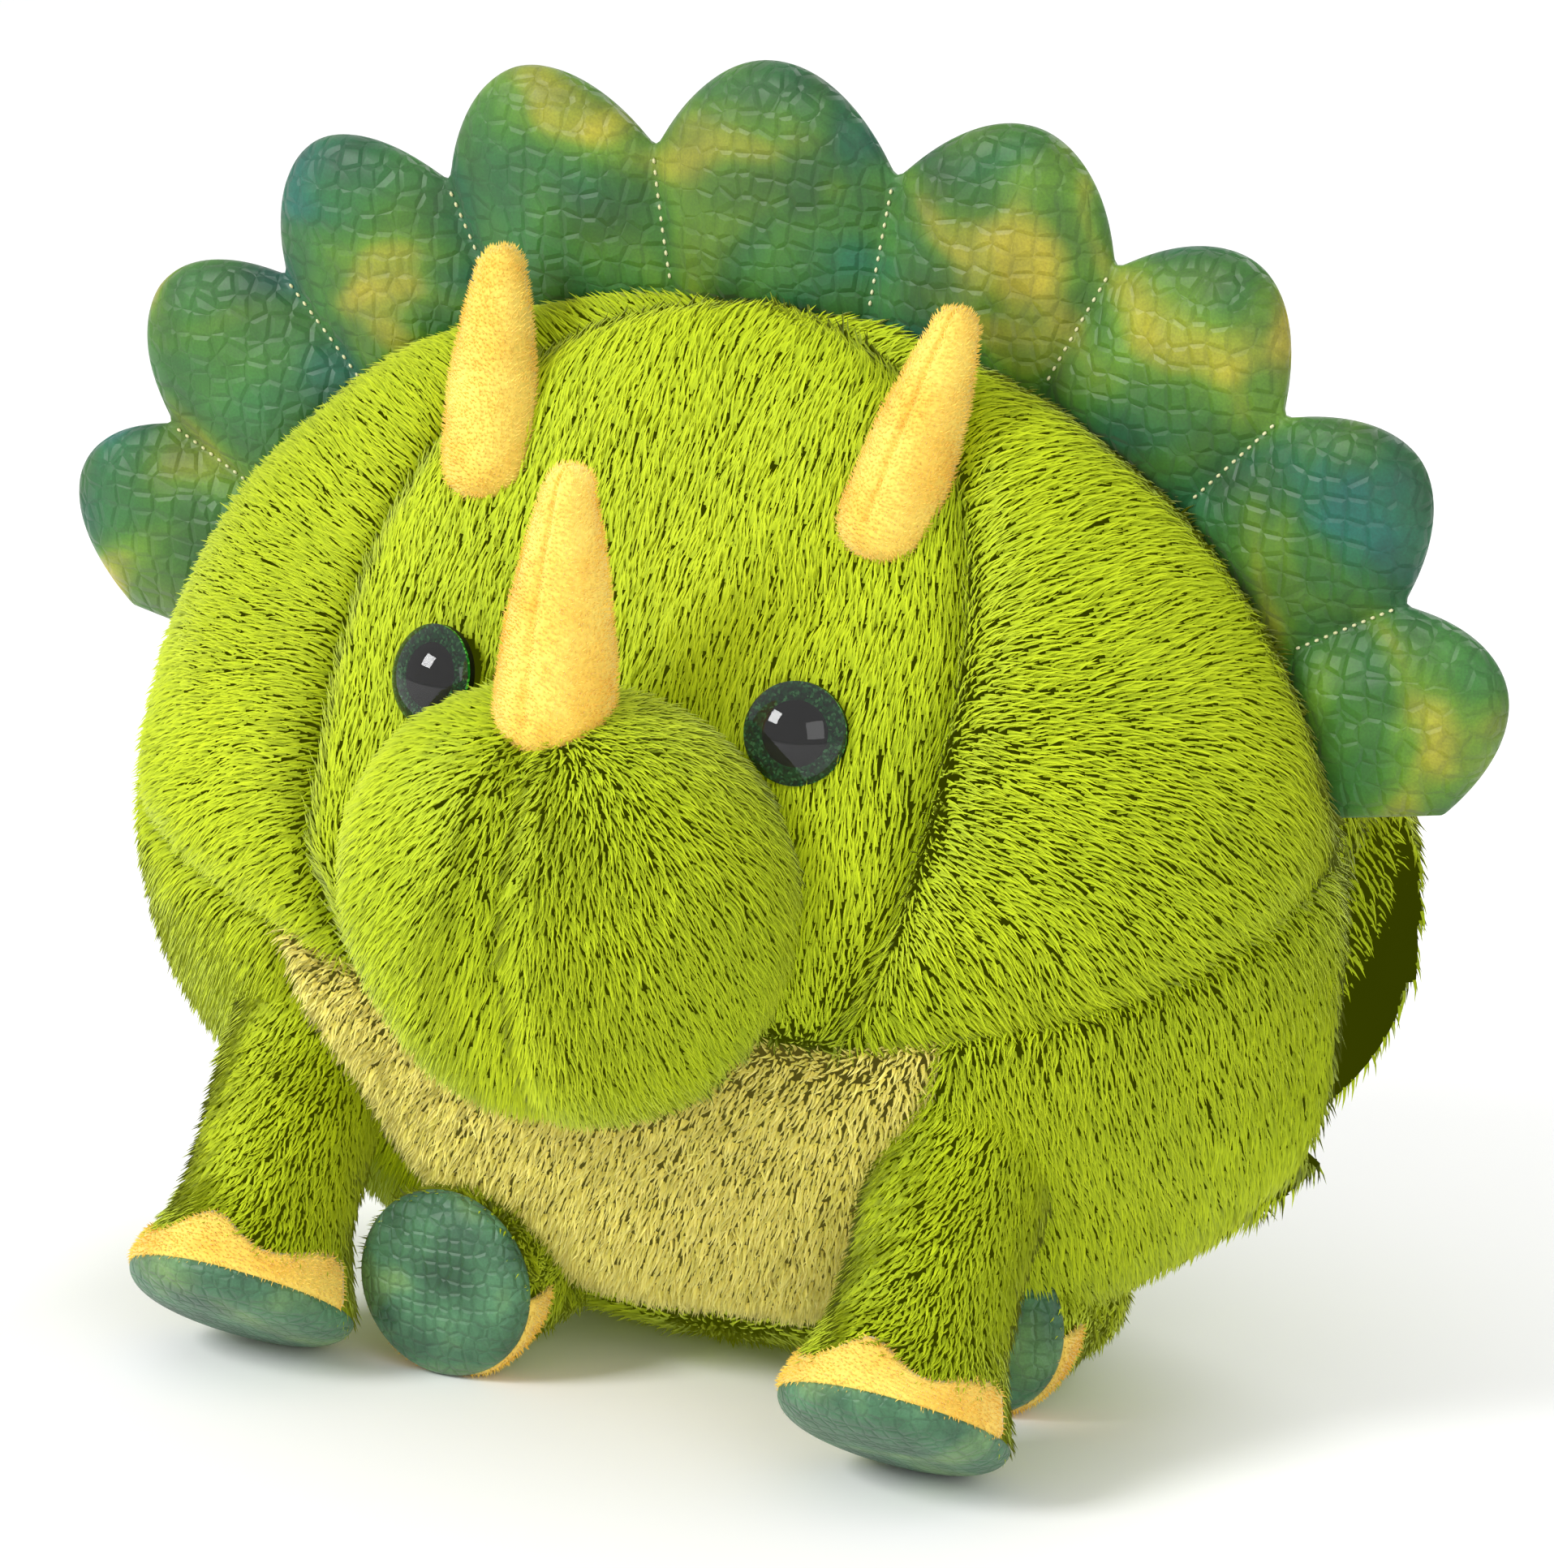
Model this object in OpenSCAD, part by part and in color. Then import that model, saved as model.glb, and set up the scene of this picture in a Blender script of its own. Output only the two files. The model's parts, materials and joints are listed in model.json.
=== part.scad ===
// Stuffed horned dinosaur: a round pillow body with a hand-warmer tunnel, a padded frill, and sewn-on
// muzzle, horns, legs and tail. Millimetres. +Z is up, the face looks along -Y and +X is its own left.
// The origin is under the middle of the object, on the surface that it stands on.

/* [Body] */
// Half width of the body, ear to ear
body_a = 188; // [182:1:194]
// Half height of the body before its base is flattened
body_c = 156; // [153:1:160]
// Height of the body's middle above the floor
body_z = 152; // [150:1:153]
// Depth of the face in front of the frill seam
face_b = 112; // [108:1:118]
// Depth of the back behind the frill seam
back_b = 120; // [110:1:130]
// Thickness of the plush skin, backing and pile together
skin_t = 6; // [4:0.5:7]

/* [Hand tunnel] */
// Half width of the tunnel's fabric tube, front to back
tunnel_y = 27; // [24:1:29]
// Half height of the tunnel's fabric tube
tunnel_z = 52; // [45:1:54]
// Thickness of the tunnel's lining
lining_t = 3.5; // [2:0.5:5]

/* [Frill] */
// Number of scalloped lobes
lobes = 9; // [7:2:11]
// Thickness of the padded frill
frill_t = 11; // [9:1:14]
// Length of a lobe from the body to its tip
lobe_len = 60; // [50:1:66]
// Length from the body to the notch between lobes
notch_len = 40; // [30:1:46]

/* [Muzzle] */
// Half width of the muzzle
muzzle_a = 70; // [64:1:71]
// Bulge of the muzzle past its widest ring
muzzle_b = 52; // [45:1:58]
// Half height of the muzzle
muzzle_c = 61; // [55:1:62]

/* [Eyes] */
// Radius of a safety eye
eye_r = 14.5; // [12:0.5:15]

/* [Horns] */
// Radius of a brow horn at its root
brow_r = 13; // [11:0.5:14]
// Length of a brow horn from its pivot
brow_len = 62; // [50:1:70]
// Radius of the nose horn at its root
nose_r = 16; // [13:0.5:17]
// Length of the nose horn from its pivot
nose_len = 73; // [60:1:80]

/* [Legs] */
// Radius of a front leg
leg_r = 23; // [20:0.5:24]
// Radius of a paw at its sole
paw_r = 27; // [25:0.5:28]
// Length of a front leg from its hip to its sole
leg_len = 93; // [89:1:94]
// Lean of a front leg from upright, in degrees
leg_lean = 28; // [24:1:30]
// Length of a rear leg from its hip to its sole
hind_len = 47; // [44:1:50]

/* [Tail] */
// Length of the tail from its pivot
tail_len = 62; // [45:1:70]

/* [Hidden] */

lime = [0.60, 0.78, 0.10];
butter = [0.95, 0.88, 0.45];
horn_yellow = [0.97, 0.80, 0.40];
scale_green = [0.20, 0.50, 0.32];
sole_teal = [0.25, 0.52, 0.42];
fibre_white = [0.93, 0.93, 0.90];

fit = 0.2;            // room between two sewn pieces
gap = 0.6;            // room round a piece that bends
core_gap = 1.2;       // room between the skin and the stuffing
seam_gap = 1.1;       // half the slot that holds the frill's sewn edge
round_n = 2.1;        // roundness of the body, seen from the front
plan_n_mid = 2.7;     // roundness of the body's middle, seen from above
plan_n_low = 2.0;     // and of its underside
far = 400;            // longer than the object
velour_t = 1.5;       // thickness of the frill's printed fabric
flange_depth = 8;     // how far the frill's sewn edge goes into the seam
frill_t0 = 13;        // latitude where the frill starts on each side
rim_steps = 60;       // points along the frill's sewn edge
lobe_steps = 12;      // points round one lobe
frill_span = 180 - 2 * frill_t0;
muzzle_skin_t = 5;
horn_tip_r = 5.5;
horn_skin_t = 1.2;
horn_fill_in = 1.4;   // how far the stuffing of a horn is inside its skin
sleeve_t = 3;
sole_t = 3;
toe_h = 14;           // height of the yellow toe cap
toe_back = 4;         // how far in front of the leg's middle the cap ends
flare_h = 20;         // height of the paw's flare
pupil_r = 9.2;
shank_r = 2.6;
washer_r = 10;
washer_t = 2.2;
washer_z = -13;
room_fn = 20;         // sides of the round hollows that limbs and horns sit in
horn_room_len = 60;
leg_room_len = 66;
hind_room_len = 70;
mouth_flare = 5;      // how much the hand tunnel opens out at each mouth
flare_from = 0.6;     // share of the half width where that begins
tunnel_parts = 8;
ring_w = 1;           // width of a ring that two lengths of the tunnel share
$fn = 64;

left = 1;
right = -1;

// ---- the body's surface -----------------------------------------------------------------------
// t is a point's latitude and a its longitude, in degrees, with a = -90 at the face and 90 at the back.
function sgn_pow(v, p) = (v < 0 ? -1 : 1) * pow(abs(v), p);
function plan_n(s) = s < 0 ? plan_n_mid + (plan_n_low - plan_n_mid) * min(1, -s / 0.5) : plan_n_mid;
function depth_at(a, s) = sin(a) < 0 ? face_b * (1 - 0.45 * max(0, s)) : back_b * (1 - 0.3 * max(0, s));
function body_point(t, a, inset) =
  let (s = sgn_pow(sin(t), 2 / round_n), r = pow(abs(cos(t)), 2 / round_n), p = 2 / plan_n(s))
  [(body_a - inset) * r * sgn_pow(cos(a), p),
   (depth_at(a, s) - inset) * r * sgn_pow(sin(a), p),
   body_z + (body_c - inset) * s];
// The base is pressed flat on the floor, and above the frill's ends a slot stays open along the seam.
function slot_half(t) = t > slot_t ? seam_gap : 0;
// The rows of a patch lie t_step apart, and the last one ends at its upper seam.
function row_count(t0, t1) = ceil((t1 - t0) / t_step);
function settled(p, inset, t, side) =
  [p[0], side < 0 ? min(p[1], -slot_half(t)) : max(p[1], slot_half(t)), max(p[2], inset)];

// A closed patch of skin between two latitudes. edge0 and edge1 give its two side seams at the lower
// and at the upper latitude, and side is -1 in front of the frill seam and 1 behind it.
module skin_patch(t0, t1, edge0, edge1, cols, side) {
  rows = row_count(t0, t1);
  width = cols + 1;
  count = (rows + 1) * width;
  function seam(e, i) = e[0] + (e[1] - e[0]) * i / rows;
  function place(i, j, inset) =
    let (t = min(t0 + t_step * i, t1), a = seam(edge0, i) + (seam(edge1, i) - seam(edge0, i)) * j / cols)
    settled(body_point(t, a, inset), inset, t, side);
  function grid(inset) = [for (i = [0 : rows], j = [0 : cols]) place(i, j, inset)];
  function quad(i, j, o) = [i * width + j + o, i * width + j + 1 + o, (i + 1) * width + j + 1 + o,
    (i + 1) * width + j + o];
  function flip(f) = [f[3], f[2], f[1], f[0]];
  function wall(p, q) = [q, p, p + count, q + count];
  polyhedron(concat(grid(0), grid(skin_t)), concat(
    [for (i = [0 : rows - 1], j = [0 : cols - 1]) flip(quad(i, j, 0))],
    [for (i = [0 : rows - 1], j = [0 : cols - 1]) quad(i, j, count)],
    [for (j = [0 : cols - 1]) wall(j + 1, j)],
    [for (j = [0 : cols - 1]) wall(rows * width + j, rows * width + j + 1)],
    [for (i = [0 : rows - 1]) wall(i * width, (i + 1) * width)],
    [for (i = [0 : rows - 1]) wall((i + 1) * width + cols, i * width + cols)]), convexity = 6);
}

// One half of the stuffing, from the frill seam to the face (side -1) or to the back (side 1).
module half_core(side) {
  inset = skin_t + core_gap;
  rows = row_count(floor_t, crown_t);
  cols = 18;
  width = cols + 1;
  points = [for (i = [0 : rows], j = [0 : cols]) let (t = min(floor_t + t_step * i, crown_t))
    settled(body_point(t, side * 180 * j / cols, inset), inset, far, side)];
  function quad(i, j) = [i * width + j, i * width + j + 1, (i + 1) * width + j + 1, (i + 1) * width + j];
  faces = concat(
    [for (i = [0 : rows - 1], j = [0 : cols - 1]) quad(i, j)],
    [for (i = [0 : rows - 1]) [i * width + cols, i * width, (i + 1) * width, (i + 1) * width + cols]],
    [[for (j = [cols : -1 : 0]) j]],
    [[for (j = [0 : cols]) rows * width + j]]);
  facing = side > 0 ? [for (f = faces) [for (k = [len(f) - 1 : -1 : 0]) f[k]]] : faces;
  polyhedron(points, facing, convexity = 4);
}

// ---- seams, in the surface's own angles ---------------------------------------------------------
t_step = 8;
a_step = 10;
floor_t = -76;
base_t = -60;                  // seam between the base and the panels above it
head_seam_t = -12;             // seam from the muzzle's side to the frill's end
crown_t = 86;
slot_t = 9;                    // the frill's sewn edge starts above this latitude
belly_a = -60;                 // seam between the belly and each side panel
gusset_low_a = -70;            // seam between the forehead and each head panel, at the muzzle
gusset_top_a = -48;            // and at the crown

// ---- places of the pieces that are set in the body ----------------------------------------------
eye_at = [58, -91, 205];
eye_turn = [75, 0, 15];         // an eye looks forward, a little up and outward
brow_at = [62, -52, 258];
brow_turn = [-18, 12, 0];
nose_at = [0, -122, 214];
nose_turn = [-3, 0, 0];
muzzle_at = [0, -108, 155];
muzzle_root_y = -80;            // the muzzle is set this deep in the face
hip_at = [105, -66, 95];
hind_right_at = [50, -50, 27.5]; // the toy sits with its rear legs apart, each at its own place
hind_left_at = [94, 0, 27.5];
hind_r = 24;
tail_at = [0, 94, 64];
tail_turn = [-98, 0, 0];
tail_r = 25;
tail_tip_r = 8;
tunnel_at = [0, 30, 115];
horn_swing = 15;                // degrees that a horn bends each way
hip_back = 5;                   // degrees that a front leg swings back
hip_forward = 25;               // and forward
hind_down = 24;                 // degrees that a rear leg swings down

module mirrored(side) {
  if (side > 0) children();
  else mirror([1, 0, 0]) children();
}
module at_eye(side) { mirrored(side) translate(eye_at) rotate(eye_turn) children(); }
module at_brow(side) { mirrored(side) translate(brow_at) rotate(brow_turn) children(); }
module at_nose() { translate(nose_at) rotate(nose_turn) children(); }
module at_hip(side) { mirrored(side) translate(hip_at) rotate([-leg_lean, 0, 0]) children(); }
function hind_at(side) = side > 0 ? hind_left_at : hind_right_at;
module at_hind(side) { mirrored(side) translate(hind_at(side)) rotate([-90, 0, 0]) children(); }
module at_tail() { translate(tail_at) rotate(tail_turn) children(); }

// ---- what is cut out of the body for them -------------------------------------------------------
module ellipse_rod(half_width, half_height, length) {
  scale([half_width, half_height, 1]) cylinder(r = 1, h = length, $fn = 40);
}
// The room that a round piece sweeps while it turns about +X at its root, from heading a0 to heading a1.
// A heading is measured from +Z towards +Y.
module swept_room(r, length, a0, a1, parts) {
  module tip(a) {
    translate(length * [0, sin(a), cos(a)]) sphere(r = r, $fn = room_fn);
  }
  for (k = [0 : parts - 1]) hull() {
    sphere(r = r, $fn = room_fn);
    tip(a0 + (a1 - a0) * k / parts);
    tip(a0 + (a1 - a0) * (k + 1) / parts);
  }
}
// The tunnel runs straight through from side to side, and opens out a little towards both mouths.
module tunnel_ring(x, inset) {
  outward = max(0, (abs(x) / body_a - flare_from) / (1 - flare_from));
  flare = mouth_flare * outward * outward;
  translate(tunnel_at + [x - ring_w / 2, 0, 0])
    rotate([90, 0, 90]) ellipse_rod(tunnel_y - inset + flare, tunnel_z - inset + flare, ring_w);
}
module tunnel_rod(inset, half_length) {
  step = 2 * half_length / tunnel_parts;
  for (k = [0 : tunnel_parts - 1]) hull() {
    tunnel_ring(-half_length + k * step, inset);
    tunnel_ring(-half_length + (k + 1) * step, inset);
  }
}
module muzzle_socket() {
  translate([0, muzzle_root_y + fit, muzzle_at[2]])
    rotate([90, 0, 0]) hull() ellipse_rod(muzzle_a + fit, muzzle_c + fit, 60);
}
module eye_socket() {
  hull() {
    translate([0, 0, -4]) cylinder(r = eye_r + fit, h = 4, $fn = 32);
    translate([0, 0, 30]) cylinder(r = eye_r + 4, h = 1, $fn = 32);
  }
  translate([0, 0, -20]) cylinder(r = shank_r + fit, h = 20);
  translate([0, 0, washer_z - fit]) cylinder(r = washer_r + fit, h = washer_t + 2 * fit);
}
module horn_room(r) { swept_room(r + 2 * gap, horn_room_len, -horn_swing, horn_swing, 3); }
module hip_room(side) {
  mirrored(side) translate(hip_at)
    swept_room(leg_r + 2 * gap, leg_room_len, 180 + leg_lean - hip_back, 180 + leg_lean + hip_forward, 5);
}
// The room of one side's rear leg, as a piece on +X sees it.
module hind_room(side) {
  translate(hind_at(side)) swept_room(paw_r + 2 * gap, hind_room_len, 270 - hind_down, 270, 3);
}
module tail_room() {
  translate(tail_at) sphere(r = tail_r + 4 * gap, $fn = 2 * room_fn);
}
module leg_rooms() {
  for (side = [left, right]) {
    hip_room(side);
    mirrored(side) hind_room(side);
  }
}
module face_rooms(side) {
  at_eye(side) eye_socket();
  at_brow(side) horn_room(brow_r);
}

// ---- body skin, one panel between each pair of seams --------------------------------------------
module forehead_panel() {
  color(lime) difference() {
    skin_patch(head_seam_t, crown_t, [-180 - gusset_low_a, -180 - gusset_top_a],
      [gusset_low_a, gusset_top_a], 12, -1);
    muzzle_socket();
    for (side = [left, right]) face_rooms(side);
  }
}
module head_panel(side) {
  color(lime) mirrored(side) difference() {
    skin_patch(head_seam_t, crown_t, [gusset_low_a, gusset_top_a], [0, 0], 10, -1);
    muzzle_socket();
    face_rooms(left);
    hip_room(left);
  }
}
module side_panel(side) {
  color(lime) mirrored(side) difference() {
    skin_patch(base_t, head_seam_t, [belly_a, belly_a], [0, 0], 8, -1);
    hip_room(left);
    hind_room(side);
  }
}
module belly_panel() {
  color(butter) difference() {
    skin_patch(base_t, head_seam_t, [-180 - belly_a, -180 - belly_a], [belly_a, belly_a], 8, -1);
    muzzle_socket();
    leg_rooms();
  }
}
module back_panel(side) {
  color(lime) mirrored(side) difference() {
    skin_patch(base_t, crown_t, [0, 0], [90, 90], 12, 1);
    tunnel_rod(0, body_a + 8);
    tail_room();
    hind_room(side);
  }
}
module base_panel() {
  color(lime) difference() {
    union() {
      for (side = [left, right]) mirrored(side) {
        skin_patch(floor_t, base_t, [-90, -90], [0, 0], 12, -1);
        skin_patch(floor_t, base_t, [0, 0], [90, 90], 12, 1);
      }
      linear_extrude(skin_t)
        polygon([for (a = [-180 : a_step : 179]) [for (k = [0, 1]) body_point(floor_t + t_step, a, 0)[k]]]);
    }
    leg_rooms();
  }
}

// ---- stuffing and the hand tunnel ---------------------------------------------------------------
module head_filling() {
  color(fibre_white) difference() {
    half_core(-1);
    muzzle_socket();
    for (side = [left, right]) face_rooms(side);
    leg_rooms();
  }
}
module back_filling() {
  color(fibre_white) difference() {
    half_core(1);
    tunnel_rod(0, body_a + 8);
    tail_room();
    leg_rooms();
  }
}
module pocket_lining() {
  color(lime) difference() {
    intersection() {
      tunnel_rod(fit, body_a + 8);
      cube([2 * (body_a - 16), far, far], center = true);
    }
    tunnel_rod(lining_t, body_a + 8);
  }
}

// ---- muzzle -------------------------------------------------------------------------------------
// Rings from the face, where turn is below 0, forward to the front of the snout at 90 degrees.
module muzzle_ring(turn, inset) {
  shrink = cos(max(turn, 0));
  depth = turn < 0 ? muzzle_root_y - muzzle_at[1] : -(muzzle_b - inset) * sin(turn);
  translate(muzzle_at + [0, depth, 0])
    rotate([90, 0, 0]) ellipse_rod((muzzle_a - inset) * shrink, (muzzle_c - inset) * shrink, 0.01);
}
module muzzle_shape(inset) {
  for (turn = [-15 : 15 : 75]) hull() {
    muzzle_ring(turn, inset);
    muzzle_ring(min(turn + 15, 87), inset);
  }
}
module muzzle_skin(side) {
  color(lime) mirrored(side) intersection() {
    difference() {
      muzzle_shape(0);
      muzzle_shape(muzzle_skin_t);
      at_nose() horn_room(nose_r);
      at_eye(left) eye_socket();
    }
    translate([fit / 2, -far, -far]) cube([far, 2 * far, 3 * far]);
  }
}
module muzzle_filling() {
  color(fibre_white) difference() {
    muzzle_shape(muzzle_skin_t + fit);
    at_nose() horn_room(nose_r);
  }
}

// ---- frill --------------------------------------------------------------------------------------
// The frill stands on the body's rim. A point of it has a latitude t and a height above the rim.
function rim_point(t, height) = let (p = body_point(t, 0, -height)) [p[0], p[2]];
function over_top(t, height) = t <= 90 ? rim_point(t, height)
  : let (p = rim_point(180 - t, height)) [-p[0], p[1]];
function lobe_height(u, inset) = let (v = 2 * (u - floor(u)) - 1)
  notch_len + (lobe_len - notch_len) * (1 - v * v) - inset;
// The points along the rim at one height, from the left end of the frill over the top to the right.
function rim_arc(height) = [for (i = [0 : rim_steps]) over_top(frill_t0 + frill_span * i / rim_steps, height)];
function reversed(list) = [for (i = [len(list) - 1 : -1 : 0]) list[i]];
module rim_band(low, high) {
  polygon(concat(rim_arc(low), reversed(rim_arc(high))));
}
module frill_outline(low, inset) {
  steps = lobes * lobe_steps;
  polygon(concat(
    [for (i = [0 : steps]) over_top(frill_t0 + frill_span * i / steps,
      lobe_height(min(i / lobe_steps, lobes - 0.001), inset))],
    reversed(rim_arc(low))));
}
module frill_slab(y0, y1) {
  translate([0, y1, 0]) rotate([90, 0, 0]) linear_extrude(y1 - y0) children();
}
module frill_front() {
  color(scale_green) frill_slab(-frill_t / 2, -frill_t / 2 + velour_t) frill_outline(fit + 1, 0);
}
module frill_padding() {
  color(fibre_white) frill_slab(-frill_t / 2 + velour_t + fit / 2, frill_t / 2 - velour_t - fit / 2)
    frill_outline(2 * velour_t + fit + 1, 3);
}
module frill_back() {
  color(butter) {
    frill_slab(frill_t / 2 - velour_t, frill_t / 2) frill_outline(fit + 1, 0);
    frill_slab(-1, frill_t / 2 - velour_t / 2) rim_band(fit + 1, velour_t + fit + 1);
    frill_slab(-1, 1) rim_band(-flange_depth, velour_t + fit + 1);
  }
}

// ---- eyes ---------------------------------------------------------------------------------------
module eye_lens(side) {
  dome_h = 0.5 * eye_r;
  dome_r = (eye_r * eye_r + dome_h * dome_h) / (2 * dome_h);
  color([0.9, 0.95, 0.9, 0.4]) at_eye(side) difference() {
    translate([0, 0, dome_h - dome_r]) sphere(r = dome_r);
    translate([0, 0, -far]) cube(2 * far, center = true);
  }
}
module eye_iris(side) {
  color([0.05, 0.45, 0.15]) at_eye(side) translate([0, 0, -1]) difference() {
    cylinder(r = eye_r, h = 0.9);
    translate([0, 0, -1]) cylinder(r = pupil_r + 0.1, h = 3);
  }
}
module eye_pupil(side) {
  color([0.03, 0.03, 0.03]) at_eye(side) translate([0, 0, -1]) cylinder(r = pupil_r, h = 0.9);
}
module eye_shank(side) {
  color([0.1, 0.1, 0.1]) at_eye(side) {
    translate([0, 0, -3]) cylinder(r = eye_r, h = 1.9);
    translate([0, 0, -18]) cylinder(r = shank_r, h = 16);
  }
}
module eye_washer(side) {
  color([0.85, 0.85, 0.85]) at_eye(side) translate([0, 0, washer_z]) difference() {
    cylinder(r = washer_r, h = washer_t);
    translate([0, 0, -1]) cylinder(r = shank_r + 0.1, h = washer_t + 2);
  }
}

// ---- horns and tail: a round root, a straight taper and a blunt round tip -------------------------
module taper(r0, r1, length) {
  tip_z = length - r1;
  lean = asin((r0 - r1) / tip_z);
  rotate_extrude($fn = 96)
    polygon(concat(
      [for (k = [0 : 12]) let (d = -90 + (90 + lean) * k / 12) r0 * [max(0, cos(d)), sin(d)]],
      [for (k = [0 : 8]) let (d = lean + (90 - lean) * k / 8)
        [max(0, r1 * cos(d)), tip_z + r1 * sin(d)]]));
}
module taper_skin(r0, r1, length, t) {
  difference() {
    taper(r0, r1, length);
    taper(r0 - t, r1 - t, length - t);
    translate([0, 0, -r0 - 1]) cylinder(r = r0 * 0.5, h = r0 * 0.6);
  }
}
module nose_horn_skin() { color(horn_yellow) at_nose() taper_skin(nose_r, horn_tip_r, nose_len, horn_skin_t); }
module nose_horn_filling() {
  color(fibre_white) at_nose() taper(nose_r - horn_fill_in, horn_tip_r - horn_fill_in, nose_len - horn_fill_in);
}
module brow_horn_skin(side) {
  color(horn_yellow) at_brow(side) taper_skin(brow_r, horn_tip_r, brow_len, horn_skin_t);
}
module brow_horn_filling(side) {
  color(fibre_white) at_brow(side)
    taper(brow_r - horn_fill_in, horn_tip_r - horn_fill_in, brow_len - horn_fill_in);
}
module tail_skin() { color(lime) at_tail() taper_skin(tail_r, tail_tip_r, tail_len, sleeve_t); }
module tail_filling() {
  color(fibre_white) at_tail()
    taper(tail_r - sleeve_t - fit, tail_tip_r - sleeve_t - fit, tail_len - sleeve_t - fit);
}

// ---- legs: local +Z points up the leg, from the sole to the hip ----------------------------------
// The outline of a leg, shrunk by inset, from the round hip at z = 0 down to its flat end.
module limb(r, length, inset, foot_up) {
  rotate_extrude($fn = 96)
    polygon(concat(
      [[0, -length + foot_up], [paw_r - inset, -length + foot_up], [paw_r - inset, -length + flare_h * 0.6],
        [r - inset, -length + flare_h * 1.6]],
      [for (k = [0 : 10]) (r - inset) * [max(0, cos(9 * k)), sin(9 * k)]]));
}
module toe_zone(length, grow) {
  translate([-paw_r * 2, -paw_r * 2, -length - grow])
    cube([paw_r * 4, paw_r * 2 - toe_back + grow, toe_h + sole_t + 2 * grow]);
}
module leg_sleeve(r, length) {
  difference() {
    limb(r, length, 0, sole_t);
    limb(r, length, sleeve_t, -1);
    toe_zone(length, fit / 2);
  }
}
module toe_cap(r, length) {
  intersection() {
    difference() {
      limb(r, length, 0, sole_t + fit);
      limb(r, length, sleeve_t, -1);
    }
    toe_zone(length, -fit / 2);
  }
}
module leg_sole(length) {
  translate([0, 0, -length]) cylinder(r = paw_r - 0.5, h = sole_t - fit);
}
module front_leg_sleeve(side) { color(lime) at_hip(side) leg_sleeve(leg_r, leg_len); }
module front_toe_cap(side) { color(horn_yellow) at_hip(side) toe_cap(leg_r, leg_len); }
module front_sole(side) { color(sole_teal) at_hip(side) leg_sole(leg_len); }
module front_leg_filling(side) {
  color(fibre_white) at_hip(side) limb(leg_r, leg_len, sleeve_t + fit, sole_t + fit);
}
module rear_leg_sleeve(side) { color(lime) at_hind(side) leg_sleeve(hind_r, hind_len); }
module rear_toe_cap(side) { color(horn_yellow) at_hind(side) toe_cap(hind_r, hind_len); }
module rear_sole(side) { color(sole_teal) at_hind(side) leg_sole(hind_len); }
module rear_leg_filling(side) {
  color(fibre_white) at_hind(side) limb(hind_r, hind_len, sleeve_t + fit, sole_t + fit);
}

forehead_panel();
head_panel(left);  // head_panel_left
head_panel(right);  // head_panel_right
side_panel(left);  // side_panel_left
side_panel(right);  // side_panel_right
belly_panel();
back_panel(left);  // back_panel_left
back_panel(right);  // back_panel_right
base_panel();
head_filling();
back_filling();
pocket_lining();
muzzle_skin(left);  // muzzle_skin_left
muzzle_skin(right);  // muzzle_skin_right
muzzle_filling();
frill_front();
frill_padding();
frill_back();
eye_lens(left);  // eye_lens_left
eye_lens(right);  // eye_lens_right
eye_iris(left);  // eye_iris_left
eye_iris(right);  // eye_iris_right
eye_pupil(left);  // eye_pupil_left
eye_pupil(right);  // eye_pupil_right
eye_shank(left);  // eye_shank_left
eye_shank(right);  // eye_shank_right
eye_washer(left);  // eye_washer_left
eye_washer(right);  // eye_washer_right
nose_horn_skin();
nose_horn_filling();
brow_horn_skin(left);  // brow_horn_skin_left
brow_horn_skin(right);  // brow_horn_skin_right
brow_horn_filling(left);  // brow_horn_filling_left
brow_horn_filling(right);  // brow_horn_filling_right
front_leg_sleeve(left);  // front_leg_sleeve_left
front_leg_sleeve(right);  // front_leg_sleeve_right
front_toe_cap(left);  // front_toe_cap_left
front_toe_cap(right);  // front_toe_cap_right
front_sole(left);  // front_sole_left
front_sole(right);  // front_sole_right
front_leg_filling(left);  // front_leg_filling_left
front_leg_filling(right);  // front_leg_filling_right
rear_leg_sleeve(left);  // rear_leg_sleeve_left
rear_leg_sleeve(right);  // rear_leg_sleeve_right
rear_toe_cap(left);  // rear_toe_cap_left
rear_toe_cap(right);  // rear_toe_cap_right
rear_sole(left);  // rear_sole_left
rear_sole(right);  // rear_sole_right
rear_leg_filling(left);  // rear_leg_filling_left
rear_leg_filling(right);  // rear_leg_filling_right
tail_skin();
tail_filling();
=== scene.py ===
import json
import math

import bmesh
import bpy
from mathutils import kdtree, Matrix, Vector, noise


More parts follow.
